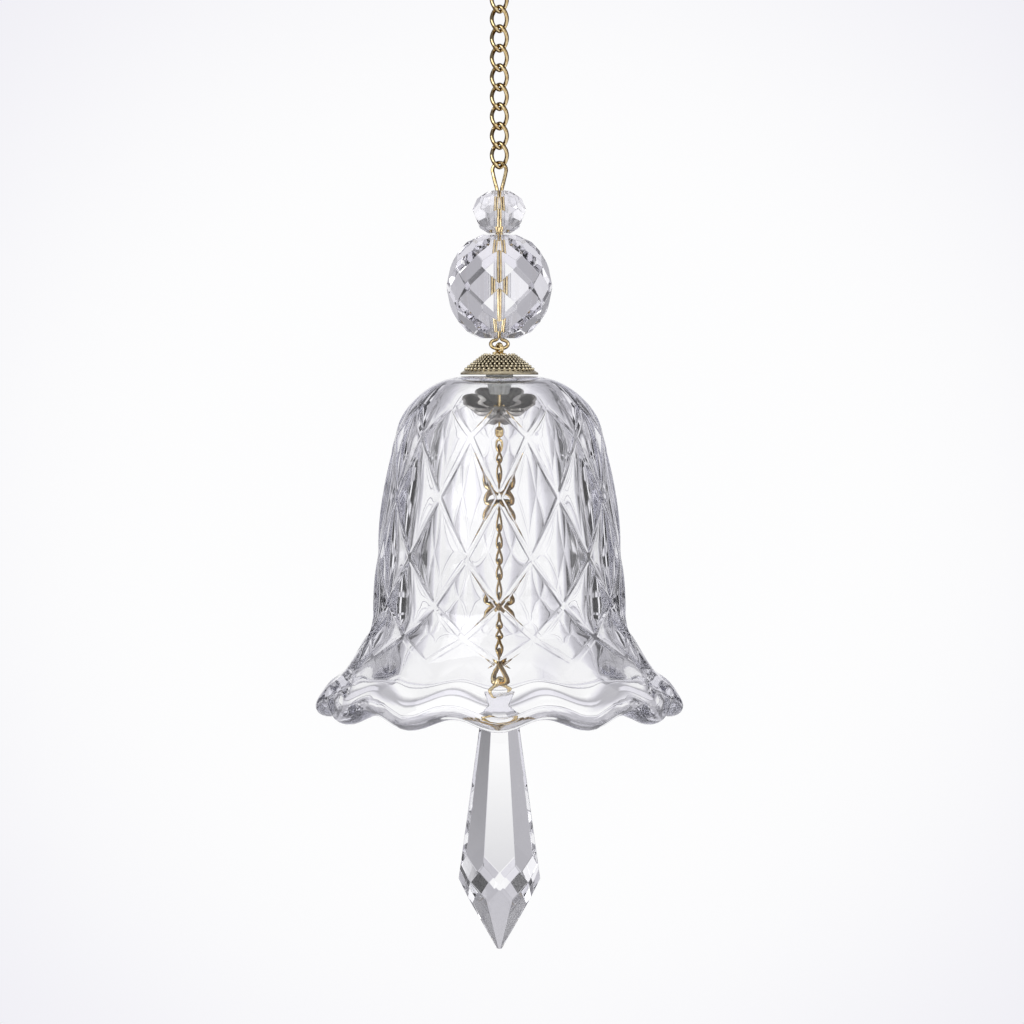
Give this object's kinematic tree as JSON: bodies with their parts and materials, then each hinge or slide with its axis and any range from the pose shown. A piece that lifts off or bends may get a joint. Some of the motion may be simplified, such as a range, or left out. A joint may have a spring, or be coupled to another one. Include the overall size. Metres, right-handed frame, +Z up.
{
  "type": "glass bell suncatcher",
  "caption": "Hanging suncatcher: a scalloped glass bell with a diamond lattice below two faceted beads on a gold curb chain, with a faceted glass drop on a chain inside it.",
  "frame": {"origin": "where a hook bears inside the top of the hanging ring", "axes": "+Z up along the hanging chain, -Y towards the front of the picture's view, +X to its right"},
  "size_m": [0.071, 0.071, 0.2049],
  "materials": {
    "gold_wire": "polished gold-tone plate",
    "antique_gold": "antiqued gold plate, darkened in its recesses",
    "antique_silver": "antiqued silver plate",
    "bead_crystal": "polished facets",
    "drop_crystal": "polished facets",
    "bell_glass": "pressed and fire-polished",
    "clear_bushing": "clear moulded"
  },
  "bodies": {
    "hanging_ring": {"hanging_ring": "gold_wire"},
    "jump_ring": {"jump_ring": "gold_wire"},
    "chain_link_01": {"chain_link_01": "gold_wire"},
    "chain_link_02": {"chain_link_02": "gold_wire"},
    "chain_link_03": {"chain_link_03": "gold_wire"},
    "chain_link_04": {"chain_link_04": "gold_wire"},
    "chain_link_05": {"chain_link_05": "gold_wire"},
    "chain_link_06": {"chain_link_06": "gold_wire"},
    "chain_link_07": {"chain_link_07": "gold_wire"},
    "chain_link_08": {"chain_link_08": "gold_wire"},
    "chain_link_09": {"chain_link_09": "gold_wire"},
    "chain_link_10": {"chain_link_10": "gold_wire"},
    "chain_link_11": {"chain_link_11": "gold_wire"},
    "bead_wire": {"bead_wire": "gold_wire"},
    "small_bead": {"small_bead": "bead_crystal"},
    "large_bead": {"large_bead": "bead_crystal"},
    "bell_stem": {"bell_stem": "gold_wire", "stop_bead": "gold_wire"},
    "filigree_cap": {"filigree_cap": "antique_gold"},
    "glass_bell": {"glass_bell": "bell_glass", "crown_bushing": "clear_bushing"},
    "petal_cap": {"petal_cap": "antique_silver"},
    "inner_link_01": {"inner_link_01": "gold_wire"},
    "inner_link_02": {"inner_link_02": "gold_wire"},
    "inner_link_03": {"inner_link_03": "gold_wire"},
    "inner_link_04": {"inner_link_04": "gold_wire"},
    "inner_link_05": {"inner_link_05": "gold_wire"},
    "inner_link_06": {"inner_link_06": "gold_wire"},
    "inner_link_07": {"inner_link_07": "gold_wire"},
    "inner_link_08": {"inner_link_08": "gold_wire"},
    "inner_link_09": {"inner_link_09": "gold_wire"},
    "inner_link_10": {"inner_link_10": "gold_wire"},
    "inner_link_11": {"inner_link_11": "gold_wire"},
    "inner_link_12": {"inner_link_12": "gold_wire"},
    "drop_bail": {"drop_bail": "gold_wire"},
    "glass_drop": {"glass_drop": "drop_crystal"}
  },
  "joints": [
    {"name": "jump_ring_swing", "type": "hinge", "parent": "hanging_ring", "child": "jump_ring", "pos_m": [0, 0, -0.0102], "axis": [1, 0, 0], "range_deg": [-35, 35]},
    {"name": "chain_link_01_swing", "type": "hinge", "parent": "jump_ring", "child": "chain_link_01", "pos_m": [0, 0, -0.0142], "axis": [0.7071, 0.7071, 0], "range_deg": [-30, 30]},
    {"name": "chain_link_02_swing", "type": "hinge", "parent": "chain_link_01", "child": "chain_link_02", "pos_m": [0, 0, -0.0169], "axis": [0.7071, -0.7071, 0], "range_deg": [-30, 30]},
    {"name": "chain_link_03_swing", "type": "hinge", "parent": "chain_link_02", "child": "chain_link_03", "pos_m": [0, 0, -0.02153], "axis": [-0.7071, -0.7071, 0], "range_deg": [-30, 30]},
    {"name": "chain_link_04_swing", "type": "hinge", "parent": "chain_link_03", "child": "chain_link_04", "pos_m": [0, 0, -0.02426], "axis": [-0.7071, 0.7071, 0], "range_deg": [-30, 30]},
    {"name": "chain_link_05_swing", "type": "hinge", "parent": "chain_link_04", "child": "chain_link_05", "pos_m": [0, 0, -0.0289], "axis": [0.7071, 0.7071, 0], "range_deg": [-30, 30]},
    {"name": "chain_link_06_swing", "type": "hinge", "parent": "chain_link_05", "child": "chain_link_06", "pos_m": [0, 0, -0.03163], "axis": [0.7071, -0.7071, 0], "range_deg": [-30, 30]},
    {"name": "chain_link_07_swing", "type": "hinge", "parent": "chain_link_06", "child": "chain_link_07", "pos_m": [0, 0, -0.03626], "axis": [-0.7071, -0.7071, 0], "range_deg": [-30, 30]},
    {"name": "chain_link_08_swing", "type": "hinge", "parent": "chain_link_07", "child": "chain_link_08", "pos_m": [0, 0, -0.03898], "axis": [-0.7071, 0.7071, 0], "range_deg": [-30, 30]},
    {"name": "chain_link_09_swing", "type": "hinge", "parent": "chain_link_08", "child": "chain_link_09", "pos_m": [0, 0, -0.04362], "axis": [0.7071, 0.7071, 0], "range_deg": [-30, 30]},
    {"name": "chain_link_10_swing", "type": "hinge", "parent": "chain_link_09", "child": "chain_link_10", "pos_m": [0, 0, -0.04634], "axis": [0.7071, -0.7071, 0], "range_deg": [-30, 30]},
    {"name": "chain_link_11_swing", "type": "hinge", "parent": "chain_link_10", "child": "chain_link_11", "pos_m": [0, 0, -0.05097], "axis": [-0.7071, -0.7071, 0], "range_deg": [-30, 30]},
    {"name": "bead_wire_swing", "type": "hinge", "parent": "chain_link_11", "child": "bead_wire", "pos_m": [0, 0, -0.05373], "axis": [-0.7071, 0.7071, 0], "range_deg": [-30, 30]},
    {"name": "small_bead_spin", "type": "hinge", "parent": "bead_wire", "child": "small_bead", "pos_m": [0, 0, -0.06313], "axis": [0, 0, 1], "continuous": true},
    {"name": "large_bead_spin", "type": "hinge", "parent": "bead_wire", "child": "large_bead", "pos_m": [0, 0, -0.07728], "axis": [0, 0, 1], "continuous": true},
    {"name": "bell_swing", "type": "hinge", "parent": "bead_wire", "child": "bell_stem", "pos_m": [0, 0, -0.08906], "axis": [1, 0, 0], "range_deg": [-30, 30]},
    {"name": "filigree_cap_spin", "type": "hinge", "parent": "bell_stem", "child": "filigree_cap", "pos_m": [0, 0, -0.09396], "axis": [0, 0, 1], "continuous": true},
    {"name": "bell_spin", "type": "hinge", "parent": "bell_stem", "child": "glass_bell", "pos_m": [0, 0, -0.09426], "axis": [0, 0, 1], "continuous": true},
    {"name": "petal_cap_spin", "type": "hinge", "parent": "bell_stem", "child": "petal_cap", "pos_m": [0, 0, -0.10346], "axis": [0, 0, 1], "continuous": true},
    {"name": "inner_link_01_swing", "type": "hinge", "parent": "bell_stem", "child": "inner_link_01", "pos_m": [0, 0, -0.10824], "axis": [0.9239, -0.3827, 0], "range_deg": [-20, 20]},
    {"name": "inner_link_02_swing", "type": "hinge", "parent": "inner_link_01", "child": "inner_link_02", "pos_m": [0, 0, -0.11097], "axis": [-0.3827, -0.9239, 0], "range_deg": [-20, 20]},
    {"name": "inner_link_03_swing", "type": "hinge", "parent": "inner_link_02", "child": "inner_link_03", "pos_m": [0, 0, -0.1156], "axis": [-0.9239, 0.3827, 0], "range_deg": [-20, 20]},
    {"name": "inner_link_04_swing", "type": "hinge", "parent": "inner_link_03", "child": "inner_link_04", "pos_m": [0, 0, -0.11833], "axis": [0.3827, 0.9239, 0], "range_deg": [-20, 20]},
    {"name": "inner_link_05_swing", "type": "hinge", "parent": "inner_link_04", "child": "inner_link_05", "pos_m": [0, 0, -0.12296], "axis": [0.9239, -0.3827, 0], "range_deg": [-20, 20]},
    {"name": "inner_link_06_swing", "type": "hinge", "parent": "inner_link_05", "child": "inner_link_06", "pos_m": [0, 0, -0.12569], "axis": [-0.3827, -0.9239, 0], "range_deg": [-20, 20]},
    {"name": "inner_link_07_swing", "type": "hinge", "parent": "inner_link_06", "child": "inner_link_07", "pos_m": [0, 0, -0.13032], "axis": [-0.9239, 0.3827, 0], "range_deg": [-20, 20]},
    {"name": "inner_link_08_swing", "type": "hinge", "parent": "inner_link_07", "child": "inner_link_08", "pos_m": [0, 0, -0.13305], "axis": [0.3827, 0.9239, 0], "range_deg": [-20, 20]},
    {"name": "inner_link_09_swing", "type": "hinge", "parent": "inner_link_08", "child": "inner_link_09", "pos_m": [0, 0, -0.13768], "axis": [0.9239, -0.3827, 0], "range_deg": [-20, 20]},
    {"name": "inner_link_10_swing", "type": "hinge", "parent": "inner_link_09", "child": "inner_link_10", "pos_m": [0, 0, -0.14041], "axis": [-0.3827, -0.9239, 0], "range_deg": [-20, 20]},
    {"name": "inner_link_11_swing", "type": "hinge", "parent": "inner_link_10", "child": "inner_link_11", "pos_m": [0, 0, -0.14504], "axis": [-0.9239, 0.3827, 0], "range_deg": [-20, 20]},
    {"name": "inner_link_12_swing", "type": "hinge", "parent": "inner_link_11", "child": "inner_link_12", "pos_m": [0, 0, -0.14777], "axis": [0.3827, 0.9239, 0], "range_deg": [-20, 20]},
    {"name": "drop_bail_swing", "type": "hinge", "parent": "inner_link_12", "child": "drop_bail", "pos_m": [0, 0, -0.1524], "axis": [0.9239, -0.3827, 0], "range_deg": [-20, 20]},
    {"name": "drop_swing", "type": "hinge", "parent": "drop_bail", "child": "glass_drop", "pos_m": [0, 0, -0.15897], "axis": [0.3827, 0.9239, 0], "range_deg": [-20, 20]}
  ]
}
